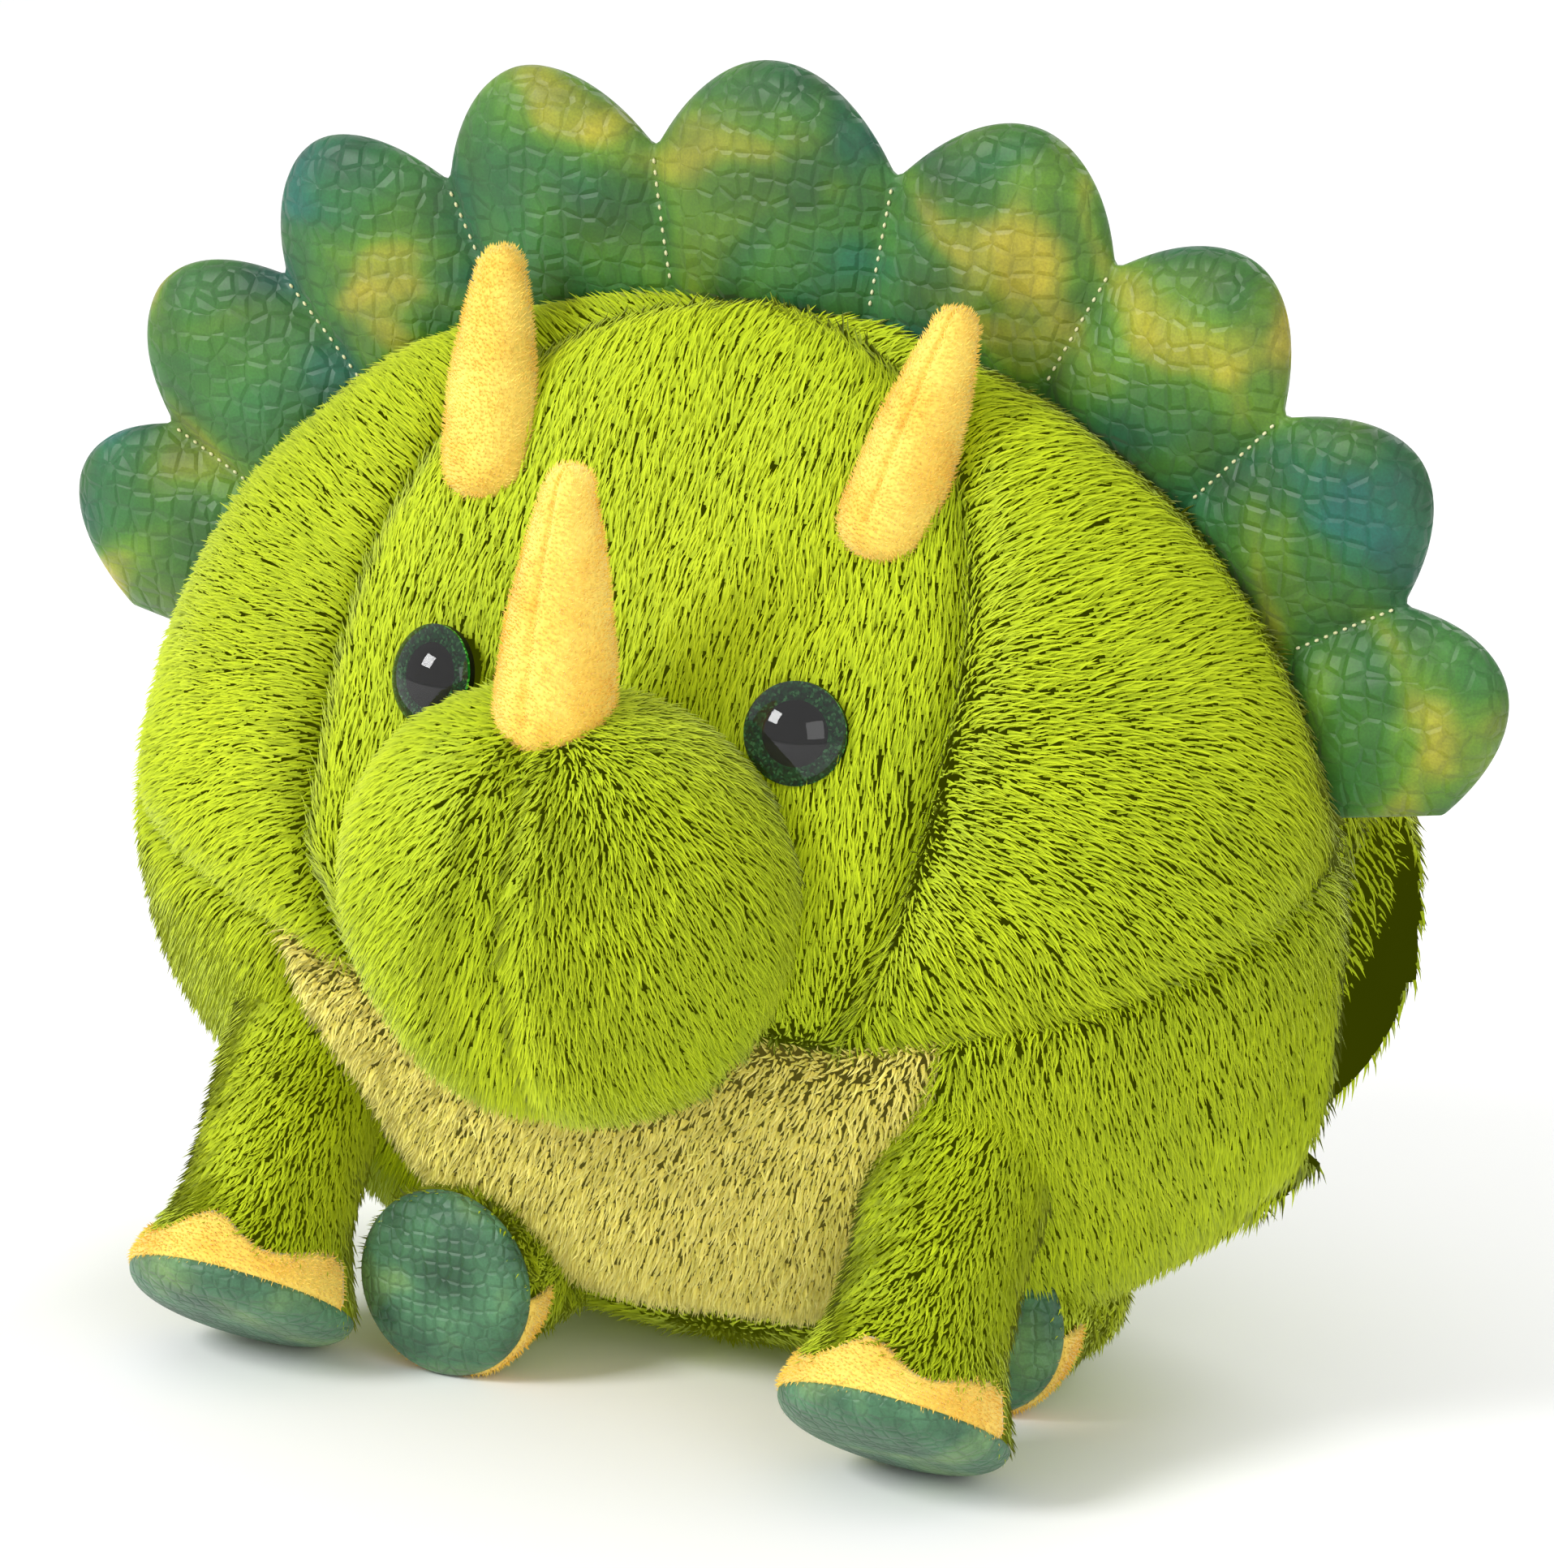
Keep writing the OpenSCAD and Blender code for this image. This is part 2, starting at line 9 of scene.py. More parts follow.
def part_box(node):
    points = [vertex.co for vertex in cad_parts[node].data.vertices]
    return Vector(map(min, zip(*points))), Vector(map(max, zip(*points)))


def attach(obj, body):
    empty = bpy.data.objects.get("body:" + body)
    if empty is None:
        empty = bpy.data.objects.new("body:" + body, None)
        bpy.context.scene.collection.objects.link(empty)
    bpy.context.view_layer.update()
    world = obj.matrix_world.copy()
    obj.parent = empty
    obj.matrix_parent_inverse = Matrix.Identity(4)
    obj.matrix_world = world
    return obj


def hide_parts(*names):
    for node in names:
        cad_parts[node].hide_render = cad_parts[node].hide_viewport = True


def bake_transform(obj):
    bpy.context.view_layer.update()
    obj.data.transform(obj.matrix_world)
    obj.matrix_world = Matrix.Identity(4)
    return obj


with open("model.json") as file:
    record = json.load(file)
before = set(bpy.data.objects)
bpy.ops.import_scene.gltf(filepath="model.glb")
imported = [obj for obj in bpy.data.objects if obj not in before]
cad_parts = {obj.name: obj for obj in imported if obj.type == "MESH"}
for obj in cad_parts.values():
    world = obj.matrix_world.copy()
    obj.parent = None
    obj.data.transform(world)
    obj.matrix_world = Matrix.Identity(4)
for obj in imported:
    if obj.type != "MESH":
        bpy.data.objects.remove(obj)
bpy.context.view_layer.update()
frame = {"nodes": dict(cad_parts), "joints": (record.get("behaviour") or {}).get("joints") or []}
sides = (("left", 1), ("right", -1))


# Camera, lights and floor
view = {"azimuth": 28.0, "elevation": 15.5, "roll": 1.2, "distance": 2.772, "lens": 224.1,
        "target": (0, 0, 0.16), "shift": (0.0091, 0.0014)}


def makeCamera():
    a, e, r = (math.radians(view[k]) for k in ("azimuth", "elevation", "roll"))
    back = Vector((math.sin(a) * math.cos(e), -math.cos(a) * math.cos(e), math.sin(e)))
    data = bpy.data.cameras.new("camera")
    data.lens, data.sensor_width, data.sensor_fit = view["lens"], 36, "HORIZONTAL"
    data.shift_x, data.shift_y = view["shift"]
    data.clip_start, data.clip_end = 0.05, 50
    camera = bpy.data.objects.new("camera", data)
    bpy.context.collection.objects.link(camera)
    camera.location = Vector(view["target"]) + back * view["distance"]
    turn = (-back).to_track_quat("-Z", "Y").to_matrix() @ Matrix.Rotation(r, 3, "Z")
    camera.rotation_euler = turn.to_euler()
    bpy.context.scene.camera = camera


def makeLight(name, place, size, power):
    data = bpy.data.lights.new(name, "AREA")
    data.size, data.energy = size, power
    lamp = bpy.data.objects.new(name, data)
    bpy.context.collection.objects.link(lamp)
    lamp.location = place
    lamp.rotation_euler = (Vector((0, 0, 0.15)) - Vector(place)).to_track_quat("-Z", "Y").to_euler()


def makeStage():
    bm = bmesh.new()
    bmesh.ops.create_grid(bm, x_segments=2, y_segments=2, size=6)
    floor = addMesh("floor", bm)
    tree, shader = newMaterial("paleFloor")
    shader.inputs["Base Color"].default_value = (0.93, 0.93, 0.93, 1)
    shader.inputs["Roughness"].default_value = 0.9
    floor.data.materials.append(bpy.data.materials["paleFloor"])
    world = bpy.data.worlds.new("studio")
    bpy.context.scene.world = world
    world.use_nodes = True
    world.node_tree.nodes["Background"].inputs["Color"].default_value = (1, 1, 1, 1)
    world.node_tree.nodes["Background"].inputs["Strength"].default_value = 0.75
    makeLight("key", (-1.3, -1.9, 1.7), 0.9, 52)
    makeLight("fill", (1.9, -1.6, 1.1), 1.4, 14)
    makeLight("rim", (0.3, 1.7, 1.9), 1.2, 22)
    bpy.context.scene.view_settings.view_transform = "Standard"


# Helpers for meshes and materials
def addMesh(name, bm):
    mesh = bpy.data.meshes.new(name)
    bm.to_mesh(mesh)
    bm.free()
    piece = bpy.data.objects.new(name, mesh)
    bpy.context.collection.objects.link(piece)
    for face in mesh.polygons:
        face.use_smooth = True
    return piece


def newMaterial(name):
    material = bpy.data.materials.new(name)
    material.use_nodes = True
    tree = material.node_tree
    return tree, tree.nodes["Principled BSDF"]


def link(tree, source, target):
    tree.links.new(source, target)


def noiseNode(tree, scale, detail=3, vector=None):
    node = tree.nodes.new("ShaderNodeTexNoise")
    node.inputs["Scale"].default_value = scale
    node.inputs["Detail"].default_value = detail
    source = vector or tree.nodes.new("ShaderNodeTexCoord").outputs["Object"]
    link(tree, source, node.inputs["Vector"])
    return node


def rampNode(tree, factor, stops):
    node = tree.nodes.new("ShaderNodeValToRGB")
    node.color_ramp.elements[0].position, node.color_ramp.elements[0].color = stops[0][0], (*stops[0][1], 1)
    node.color_ramp.elements[1].position, node.color_ramp.elements[1].color = stops[-1][0], (*stops[-1][1], 1)
    for place, colour in stops[1:-1]:
        node.color_ramp.elements.new(place).color = (*colour, 1)
    link(tree, factor, node.inputs["Fac"])
    return node.outputs["Color"]


def mixNode(tree, kind, factor, a, b):
    node = tree.nodes.new("ShaderNodeMix")
    node.data_type, node.blend_type = "RGBA", kind
    if isinstance(factor, float):
        node.inputs[0].default_value = factor
    else:
        link(tree, factor, node.inputs[0])
    link(tree, a, node.inputs[6])
    link(tree, b, node.inputs[7])
    return node.outputs[2]


def bumpNode(tree, shader, height, strength, distance):
    node = tree.nodes.new("ShaderNodeBump")
    node.inputs["Strength"].default_value = strength
    node.inputs["Distance"].default_value = distance
    link(tree, height, node.inputs["Height"])
    link(tree, node.outputs["Normal"], shader.inputs["Normal"])


# A closed round form: place(t, a) gives a point for each latitude and longitude, in degrees.
def roundForm(columns, rows, place, transform=None):
    bm = bmesh.new()
    bmesh.ops.create_uvsphere(bm, u_segments=columns, v_segments=rows, radius=1)
    for vert in bm.verts:
        t = math.degrees(math.asin(max(-1, min(1, vert.co.z))))
        a = math.degrees(math.atan2(vert.co.y, vert.co.x))
        vert.co = Vector(place(t, a))
    if transform:
        bmesh.ops.transform(bm, matrix=transform, verts=bm.verts)
    bmesh.ops.recalc_face_normals(bm, faces=bm.faces)
    return bm


# A sheet becomes a closed shell whose wall lies behind it.
def giveWall(piece, thickness):
    wall = piece.modifiers.new("wall", "SOLIDIFY")
    wall.thickness = thickness
    wall.offset = -1
    shown = piece.evaluated_get(bpy.context.evaluated_depsgraph_get())
    mesh = bpy.data.meshes.new_from_object(shown)
    piece.modifiers.clear()
    piece.data = mesh
    return piece


def wave(p, scale, seed=0.0):
    return noise.noise(Vector(p) * scale + Vector((seed, seed * 0.7, seed * 1.3)))


def smooth(x):
    x = max(0.0, min(1.0, x))
    return x * x * (3 - 2 * x)


# Pile: tapered tufts that stand on a surface and lie along its comb direction
limePile = {"gap": 0.00098, "length": 0.0062, "radius": 0.00064, "bend": 0.0016, "up": 0.55, "lie": 0.9,
            "clump": 0.7, "clumpScale": 42, "loose": 0.25}
backPile = dict(limePile, gap=0.00140, radius=0.00064)
hiddenPile = dict(limePile, gap=0.00175, radius=0.00080)
bellyPile = {"gap": 0.00098, "length": 0.0046, "radius": 0.00070, "bend": 0.0016, "up": 0.9, "lie": 0.45,
             "clump": 1.1, "clumpScale": 150, "loose": 0.3}
velourPile = {"gap": 0.00085, "length": 0.0016, "radius": 0.00030, "bend": 0.0003, "up": 0.9, "lie": 0.3,
              "clump": 0.9, "clumpScale": 90, "loose": 0.3}


def pileTree(name, spec, material, bald, seed):
    tree = bpy.data.node_groups.new(name, "GeometryNodeTree")
    tree.interface.new_socket("Geometry", in_out="INPUT", socket_type="NodeSocketGeometry")
    tree.interface.new_socket("Geometry", in_out="OUTPUT", socket_type="NodeSocketGeometry")
    nodes = tree.nodes

    def put(kind, **values):
        node = nodes.new(kind)
        for key, value in values.items():
            setattr(node, key, value)
        return node

    def maths(operation, a, b):
        node = put("ShaderNodeVectorMath", operation=operation)
        for index, value in enumerate((a, b)):
            target = node.inputs["Scale"] if operation == "SCALE" and index == 1 else node.inputs[index]
            if isinstance(value, (int, float, tuple)):
                target.default_value = value
            else:
                link(tree, value, target)
        return node.outputs["Value"] if operation == "DISTANCE" else node.outputs["Vector"]

    start, end = put("NodeGroupInput"), put("NodeGroupOutput")
    scatter = put("GeometryNodeDistributePointsOnFaces", distribute_method="POISSON")
    scatter.inputs["Distance Min"].default_value = spec["gap"]
    scatter.inputs["Density Max"].default_value = 1.1 / spec["gap"] ** 2
    scatter.inputs["Seed"].default_value = seed
    outside = put("GeometryNodeInputNamedAttribute", data_type="BOOLEAN")
    outside.inputs["Name"].default_value = "outside"
    link(tree, outside.outputs["Attribute"], scatter.inputs["Selection"])
    link(tree, start.outputs[0], scatter.inputs["Mesh"])
    points = scatter.outputs["Points"]
    position = put("GeometryNodeInputPosition").outputs[0]
    for centre, radius in bald:
        near = put("FunctionNodeCompare", data_type="FLOAT", operation="LESS_THAN")
        link(tree, maths("DISTANCE", position, tuple(centre)), near.inputs[0])
        near.inputs[1].default_value = radius
        remove = put("GeometryNodeDeleteGeometry", domain="POINT")
        link(tree, points, remove.inputs["Geometry"])
        link(tree, near.outputs[0], remove.inputs["Selection"])
        points = remove.outputs[0]

    comb = put("GeometryNodeInputNamedAttribute", data_type="FLOAT_VECTOR")
    comb.inputs["Name"].default_value = "comb"
    clump = put("ShaderNodeTexNoise")
    clump.inputs["Scale"].default_value = spec["clumpScale"]
    clump.inputs["Detail"].default_value = 2
    loose = put("FunctionNodeRandomValue", data_type="FLOAT_VECTOR")
    loose.inputs["Min"].default_value = (-spec["loose"],) * 3
    loose.inputs["Max"].default_value = (spec["loose"],) * 3
    swirl = maths("SCALE", maths("SUBTRACT", clump.outputs["Color"], (0.5, 0.5, 0.5)), spec["clump"])
    lying = maths("ADD", maths("SCALE", comb.outputs["Attribute"], spec["lie"]), swirl)
    heading = maths("ADD", maths("ADD", maths("SCALE", scatter.outputs["Normal"], spec["up"]), lying),
                    loose.outputs["Value"])
    turnY = put("FunctionNodeAlignRotationToVector", axis="Y")
    link(tree, lying, turnY.inputs["Vector"])
    turnZ = put("FunctionNodeAlignRotationToVector", axis="Z")
    link(tree, turnY.outputs[0], turnZ.inputs["Rotation"])
    link(tree, heading, turnZ.inputs["Vector"])

    tuft = put("GeometryNodeMeshCone", fill_type="NGON")
    tuft.inputs["Vertices"].default_value = 3
    tuft.inputs["Side Segments"].default_value = 2
    tuft.inputs["Radius Top"].default_value = 0
    tuft.inputs["Radius Bottom"].default_value = spec["radius"]
    tuft.inputs["Depth"].default_value = spec["length"]
    axisZ = put("ShaderNodeSeparateXYZ")
    link(tree, put("GeometryNodeInputPosition").outputs[0], axisZ.inputs[0])
    along = put("ShaderNodeMath", operation="DIVIDE")
    link(tree, axisZ.outputs["Z"], along.inputs[0])
    along.inputs[1].default_value = spec["length"]
    keepAlong = put("GeometryNodeStoreNamedAttribute", data_type="FLOAT", domain="POINT")
    keepAlong.inputs["Name"].default_value = "along"
    link(tree, tuft.outputs["Mesh"], keepAlong.inputs["Geometry"])
    link(tree, along.outputs[0], keepAlong.inputs["Value"])
    square = put("ShaderNodeMath", operation="POWER")
    link(tree, along.outputs[0], square.inputs[0])
    square.inputs[1].default_value = 2
    bent = put("ShaderNodeCombineXYZ")
    bow = put("ShaderNodeMath", operation="MULTIPLY")
    link(tree, square.outputs[0], bow.inputs[0])
    bow.inputs[1].default_value = spec["bend"]
    link(tree, bow.outputs[0], bent.inputs["Y"])
    curve = put("GeometryNodeSetPosition")
    link(tree, keepAlong.outputs[0], curve.inputs["Geometry"])
    link(tree, bent.outputs[0], curve.inputs["Offset"])

    size = put("FunctionNodeRandomValue", data_type="FLOAT")
    size.inputs[2].default_value, size.inputs[3].default_value = 0.7, 1.15
    size.inputs["Seed"].default_value = 5
    plant = put("GeometryNodeInstanceOnPoints")
    link(tree, points, plant.inputs["Points"])
    link(tree, curve.outputs[0], plant.inputs["Instance"])
    link(tree, turnZ.outputs[0], plant.inputs["Rotation"])
    link(tree, size.outputs[1], plant.inputs["Scale"])
    tone = put("FunctionNodeRandomValue", data_type="FLOAT")
    tone.inputs["Seed"].default_value = 9
    keepTone = put("GeometryNodeStoreNamedAttribute", data_type="FLOAT", domain="INSTANCE")
    keepTone.inputs["Name"].default_value = "tone"
    link(tree, plant.outputs[0], keepTone.inputs["Geometry"])
    link(tree, tone.outputs[1], keepTone.inputs["Value"])
    keepNormal = put("GeometryNodeStoreNamedAttribute", data_type="FLOAT_VECTOR", domain="INSTANCE")
    keepNormal.inputs["Name"].default_value = "skinNormal"
    link(tree, keepTone.outputs[0], keepNormal.inputs["Geometry"])
    link(tree, scatter.outputs["Normal"], keepNormal.inputs["Value"])
    real = put("GeometryNodeRealizeInstances")
    link(tree, keepNormal.outputs[0], real.inputs[0])
    paint = put("GeometryNodeSetMaterial")
    paint.inputs["Material"].default_value = material
    link(tree, real.outputs[0], paint.inputs["Geometry"])
    join = put("GeometryNodeJoinGeometry")
    link(tree, paint.outputs[0], join.inputs[0])
    link(tree, start.outputs[0], join.inputs[0])
    # the floor presses the pile flat
    pressed = maths("MAXIMUM", put("GeometryNodeInputPosition").outputs[0], (-9, -9, 0.0003))
    rest = put("GeometryNodeSetPosition")
    link(tree, join.outputs[0], rest.inputs["Geometry"])
    link(tree, pressed, rest.inputs["Position"])
    link(tree, rest.outputs[0], end.inputs[0])
    return tree


# Marks where the pile grows and which way it lies.
def markPile(piece, grows, combAt):
    mesh = piece.data
    mesh.attributes.new("outside", "BOOLEAN", "FACE")
    mesh.attributes.new("comb", "FLOAT_VECTOR", "POINT")
    for face in mesh.polygons:
        mesh.attributes["outside"].data[face.index].value = bool(grows(face.center, face.normal))
    for vert in mesh.vertices:
        flow = Vector(combAt(vert.co))
        flow -= vert.normal * flow.dot(vert.normal)
        mesh.attributes["comb"].data[vert.index].vector = flow.normalized() if flow.length > 1e-6 else flow


def growPile(piece, spec, material, bald=(), seed=1):
    piece.data.materials.append(material)
    modifier = piece.modifiers.new("pile", "NODES")
    modifier.node_group = pileTree(piece.name + "Pile", spec, material, bald, seed)


# Materials
def plushMaterial(name, root, middle, tip, patch):
    tree, shader = newMaterial(name)
    along = tree.nodes.new("ShaderNodeAttribute")
    along.attribute_name = "along"
    tone = tree.nodes.new("ShaderNodeAttribute")
    tone.attribute_name = "tone"
    # painted shade: each tuft is darker at its root than at its tip, and the cloth between the tufts, which
    # has no along value, takes the dark root colour
    colour = rampNode(tree, along.outputs["Fac"], [(0.0, root), (0.4, middle), (1.0, tip)])
    toneStops = [(0.0, (0.84, 0.86, 0.7)), (0.6, (1, 1, 1)), (1.0, (1.06, 1.05, 1.15))]
    perTuft = rampNode(tree, tone.outputs["Fac"], toneStops)
    broad = rampNode(tree, noiseNode(tree, 14).outputs["Fac"], [(0.3, patch), (0.65, (1, 1, 1))])
    colour = mixNode(tree, "MULTIPLY", 1.0, colour, perTuft)
    dyeAndRootShade = mixNode(tree, "MULTIPLY", 1.0, colour, broad)
    link(tree, dyeAndRootShade, shader.inputs["Base Color"])
    skin = tree.nodes.new("ShaderNodeAttribute")  # the cloth's own normal softens the shading of each tuft
    skin.attribute_name = "skinNormal"
    turned = tree.nodes.new("ShaderNodeVectorTransform")
    turned.vector_type = "NORMAL"
    turned.convert_from, turned.convert_to = "OBJECT", "WORLD"
    link(tree, skin.outputs["Vector"], turned.inputs[0])
    soft = tree.nodes.new("ShaderNodeMix")
    soft.data_type = "VECTOR"
    soft.inputs[0].default_value = 0.72
    link(tree, tree.nodes.new("ShaderNodeNewGeometry").outputs["Normal"], soft.inputs[4])
    link(tree, turned.outputs[0], soft.inputs[5])
    unit = tree.nodes.new("ShaderNodeVectorMath")
    unit.operation = "NORMALIZE"
    link(tree, soft.outputs[1], unit.inputs[0])
    link(tree, unit.outputs["Vector"], shader.inputs["Normal"])
    link(tree, dyeAndRootShade, shader.inputs["Emission Color"])  # painted light: the fur glows faintly in its own colour, lifting its shade in place of light that the fibres pass on to each other
    shader.inputs["Emission Strength"].default_value = 0.13
    shader.inputs["Roughness"].default_value = 0.6
    shader.inputs["Specular IOR Level"].default_value = 0.2
    shader.inputs["Sheen Weight"].default_value = 0.2
    return bpy.data.materials[name]


def velourMaterial(name, stops, scale):
    tree, shader = newMaterial(name)
    coords = tree.nodes.new("ShaderNodeTexCoord").outputs["Object"]
    broad = noiseNode(tree, scale, 3, coords)
    fine = noiseNode(tree, 900, 2, coords)
    grain = rampNode(tree, fine.outputs["Fac"], [(0.25, (0.84, 0.82, 0.76)), (0.7, (1.06, 1.06, 1.1))])
    colour = rampNode(tree, broad.outputs["Fac"], stops)
    link(tree, mixNode(tree, "MULTIPLY", 1.0, colour, grain), shader.inputs["Base Color"])
    shader.inputs["Roughness"].default_value = 0.8
    shader.inputs["Sheen Weight"].default_value = 0.35
    bumpNode(tree, shader, fine.outputs["Fac"], 0.5, 0.0006)
    return bpy.data.materials[name]


# Printed velour with pressed scales: round cells with grooves between them, painted shade in the grooves, and
# drifting dye colours.
def scaleMaterial(name, cell, dyes, washScale):
    tree, shader = newMaterial(name)
    coords = tree.nodes.new("ShaderNodeTexCoord").outputs["Object"]
    wash = noiseNode(tree, washScale, 2, coords)
    wash.inputs["Distortion"].default_value = 0.5
    tint = noiseNode(tree, washScale * 2.3, 2, coords)
    cells = tree.nodes.new("ShaderNodeTexVoronoi")
    cells.feature = "DISTANCE_TO_EDGE"
    cells.inputs["Scale"].default_value = 1 / cell
    cells.inputs["Randomness"].default_value = 0.55
    link(tree, coords, cells.inputs["Vector"])
    groove = rampNode(tree, cells.outputs["Distance"], [(0.0, (0.0,) * 3), (0.2, (1.0,) * 3)])
    dyeAndGrooveShade = rampNode(tree, wash.outputs["Fac"], dyes)
    light = rampNode(tree, tint.outputs["Fac"], [(0.3, (0.55, 0.62, 0.6)), (0.7, (1.35, 1.3, 1.2))])
    dyeAndGrooveShade = mixNode(tree, "MULTIPLY", 1.0, dyeAndGrooveShade, light)
    # painted shade: the grooves between the pressed scales are darkened
    grooveShade = rampNode(tree, groove, [(0.0, (0.88, 0.9, 0.88)), (1.0, (1.02, 1.02, 1.02))])
    fine = noiseNode(tree, 1400, 2, coords)
    grain = rampNode(tree, fine.outputs["Fac"], [(0.25, (0.8, 0.8, 0.8)), (0.7, (1.12, 1.12, 1.12))])
    dyeAndGrooveShade = mixNode(tree, "MULTIPLY", 1.0, dyeAndGrooveShade, grooveShade)
    link(tree, mixNode(tree, "MULTIPLY", 1.0, dyeAndGrooveShade, grain), shader.inputs["Base Color"])
    shader.inputs["Roughness"].default_value = 0.5
    shader.inputs["Sheen Weight"].default_value = 0.12
    bumpNode(tree, shader, groove, 0.55, 0.0009)
    return bpy.data.materials[name]


# the darker root colours are painted shade between the tufts
lime = plushMaterial("limePlush", root=(0.40, 0.50, 0.002), middle=(0.47, 0.58, 0.003),
                     tip=(0.60, 0.71, 0.008), patch=(0.86, 0.9, 0.8))
butter = plushMaterial("bellyPlush", root=(0.88, 0.74, 0.12), middle=(0.97, 0.84, 0.18),
                       tip=(1.0, 0.91, 0.27), patch=(0.95, 0.95, 0.9))
hornYellow = velourMaterial("hornVelour", [(0.3, (0.90, 0.56, 0.06)), (0.6, (0.96, 0.70, 0.12))], 60)
dyes = [(0.32, (0.003, 0.10, 0.075)), (0.40, (0.008, 0.10, 0.030)), (0.50, (0.035, 0.14, 0.010)),
        (0.56, (0.09, 0.20, 0.008)), (0.68, (0.40, 0.34, 0.02))]
frillPrint = scaleMaterial("frillVelour", 0.0062, dyes, 17)
soleDyes = [(0.3, (0.025, 0.10, 0.045)), (0.5, (0.06, 0.18, 0.09)), (0.75, (0.22, 0.36, 0.12))]
solePrint = scaleMaterial("soleVelour", 0.004, soleDyes, 30)
cream = velourMaterial("creamBacking", [(0.3, (0.62, 0.60, 0.28)), (0.7, (0.80, 0.78, 0.48))], 40)


# Body
headSize = {"halfWidth": 0.188, "halfHeight": 0.156, "middle": 0.152, "face": 0.112, "back": 0.120,
            "inset": 0.004, "headSeam": -12, "seamClimb": 17, "baseSeam": -60, "bellySeam": -60,
            "gussetLow": -70, "gussetRise": 22 / 98,
            "sagZ": 0.088, "sagBack": 0.125, "sagFace": 0.065, "groove": 0.0042, "grooveWidth": 0.007}
tunnel = {"y": 0.030, "z": 0.115, "halfDepth": 0.026, "halfHeight": 0.050, "mouthDepth": 0.032,
          "mouthHeight": 0.058, "lip": 0.03, "lipY": 0.066}
panelNames = ["forehead", "headLeft", "headRight", "sideLeft", "sideRight", "belly", "backLeft", "backRight",
              "base", "tunnel"]


def power(v, p):
    return math.copysign(abs(v) ** p, v)


def bodyPoint(t, a):
    s = power(math.sin(math.radians(t)), 2 / 2.1)
    r = abs(math.cos(math.radians(t))) ** (2 / 2.1)
    n = 2.7 - 0.7 * min(1, -s / 0.5) if s < 0 else 2.7
    c, w = power(math.cos(math.radians(a)), 2 / n), power(math.sin(math.radians(a)), 2 / n)
    inset = headSize["inset"]
    depth = headSize["face"] * (1 - 0.45 * max(0, s)) if w < 0 else headSize["back"] * (1 - 0.3 * max(0, s))
    z = headSize["middle"] + (headSize["halfHeight"] - inset) * s
    y = (depth - inset) * r * w
    lip = math.exp(-((y - tunnel["lipY"]) / 0.032) ** 2 - ((z - tunnel["z"]) / 0.075) ** 2)
    sag = headSize["sagBack"] if w > 0 else headSize["sagFace"]
    sag *= math.exp(-((z - headSize["sagZ"]) / 0.052) ** 2)
    x = (headSize["halfWidth"] - inset) * r * c * (1 + tunnel["lip"] * lip + sag)
    return Vector((x, y * (1 + 0.4 * sag), max(z, inset)))


def foldAngle(a):
    return a if a > -90 else -180 - a


# The seam under each cheek climbs from the muzzle to the frill's end.
def climbed(t, a):
    across = (foldAngle(a) + 70) / 70 if a < 0 else 1 - (a if a < 90 else 180 - a) / 30
    near = max(0, 1 - abs(t - headSize["headSeam"]) / 34)
    return t + headSize["seamClimb"] * max(0, min(1, across)) * near


def warped(t, a):
    if a >= 0 or t <= headSize["headSeam"]:
        return a
    low = headSize["gussetLow"]
    goal = low + headSize["gussetRise"] * (t - headSize["headSeam"])
    f = foldAngle(a)
    f = -90 + (f + 90) * (goal + 90) / (low + 90) if f < low else goal * f / low
    return f if a > -90 else -180 - f


def panelAt(t, a):
    left = -90 < a < 90
    if t < headSize["baseSeam"]:
        return 8
    if a > 0:
        return 6 if left else 7
    if t > headSize["headSeam"]:
        return 0 if foldAngle(a) < headSize["gussetLow"] else (1 if left else 2)
    return 5 if foldAngle(a) < headSize["bellySeam"] else (3 if left else 4)


def inMouth(p, grow=1.0):
    across, up = (p.y - tunnel["y"]) / tunnel["mouthDepth"], (p.z - tunnel["z"]) / tunnel["mouthHeight"]
    return across ** 2 + up ** 2 < grow


def mouthAngle(p):
    return math.atan2((p.z - tunnel["z"]) / tunnel["mouthHeight"], (p.y - tunnel["y"]) / tunnel["mouthDepth"])


# A point of the mouth's edge goes to the oval, on the body's surface.
def snapToMouth(vert):
    angle = mouthAngle(vert.co)
    y = tunnel["y"] + math.cos(angle) * tunnel["mouthDepth"]
    z = tunnel["z"] + math.sin(angle) * tunnel["mouthHeight"]
    s = (z - headSize["middle"]) / headSize["halfHeight"]
    n = 2.7 - 0.7 * min(1, -s / 0.5) if s < 0 else 2.7
    r = (1 - abs(s) ** 2.1) ** (1 / 2.1)
    depth = (headSize["back"] if y > 0 else headSize["face"]) * r
    x = headSize["halfWidth"] * r * (1 - min(1, abs(y) / depth) ** n) ** (1 / n) - headSize["inset"]
    vert.co = Vector((math.copysign(x, vert.co.x), y, z))


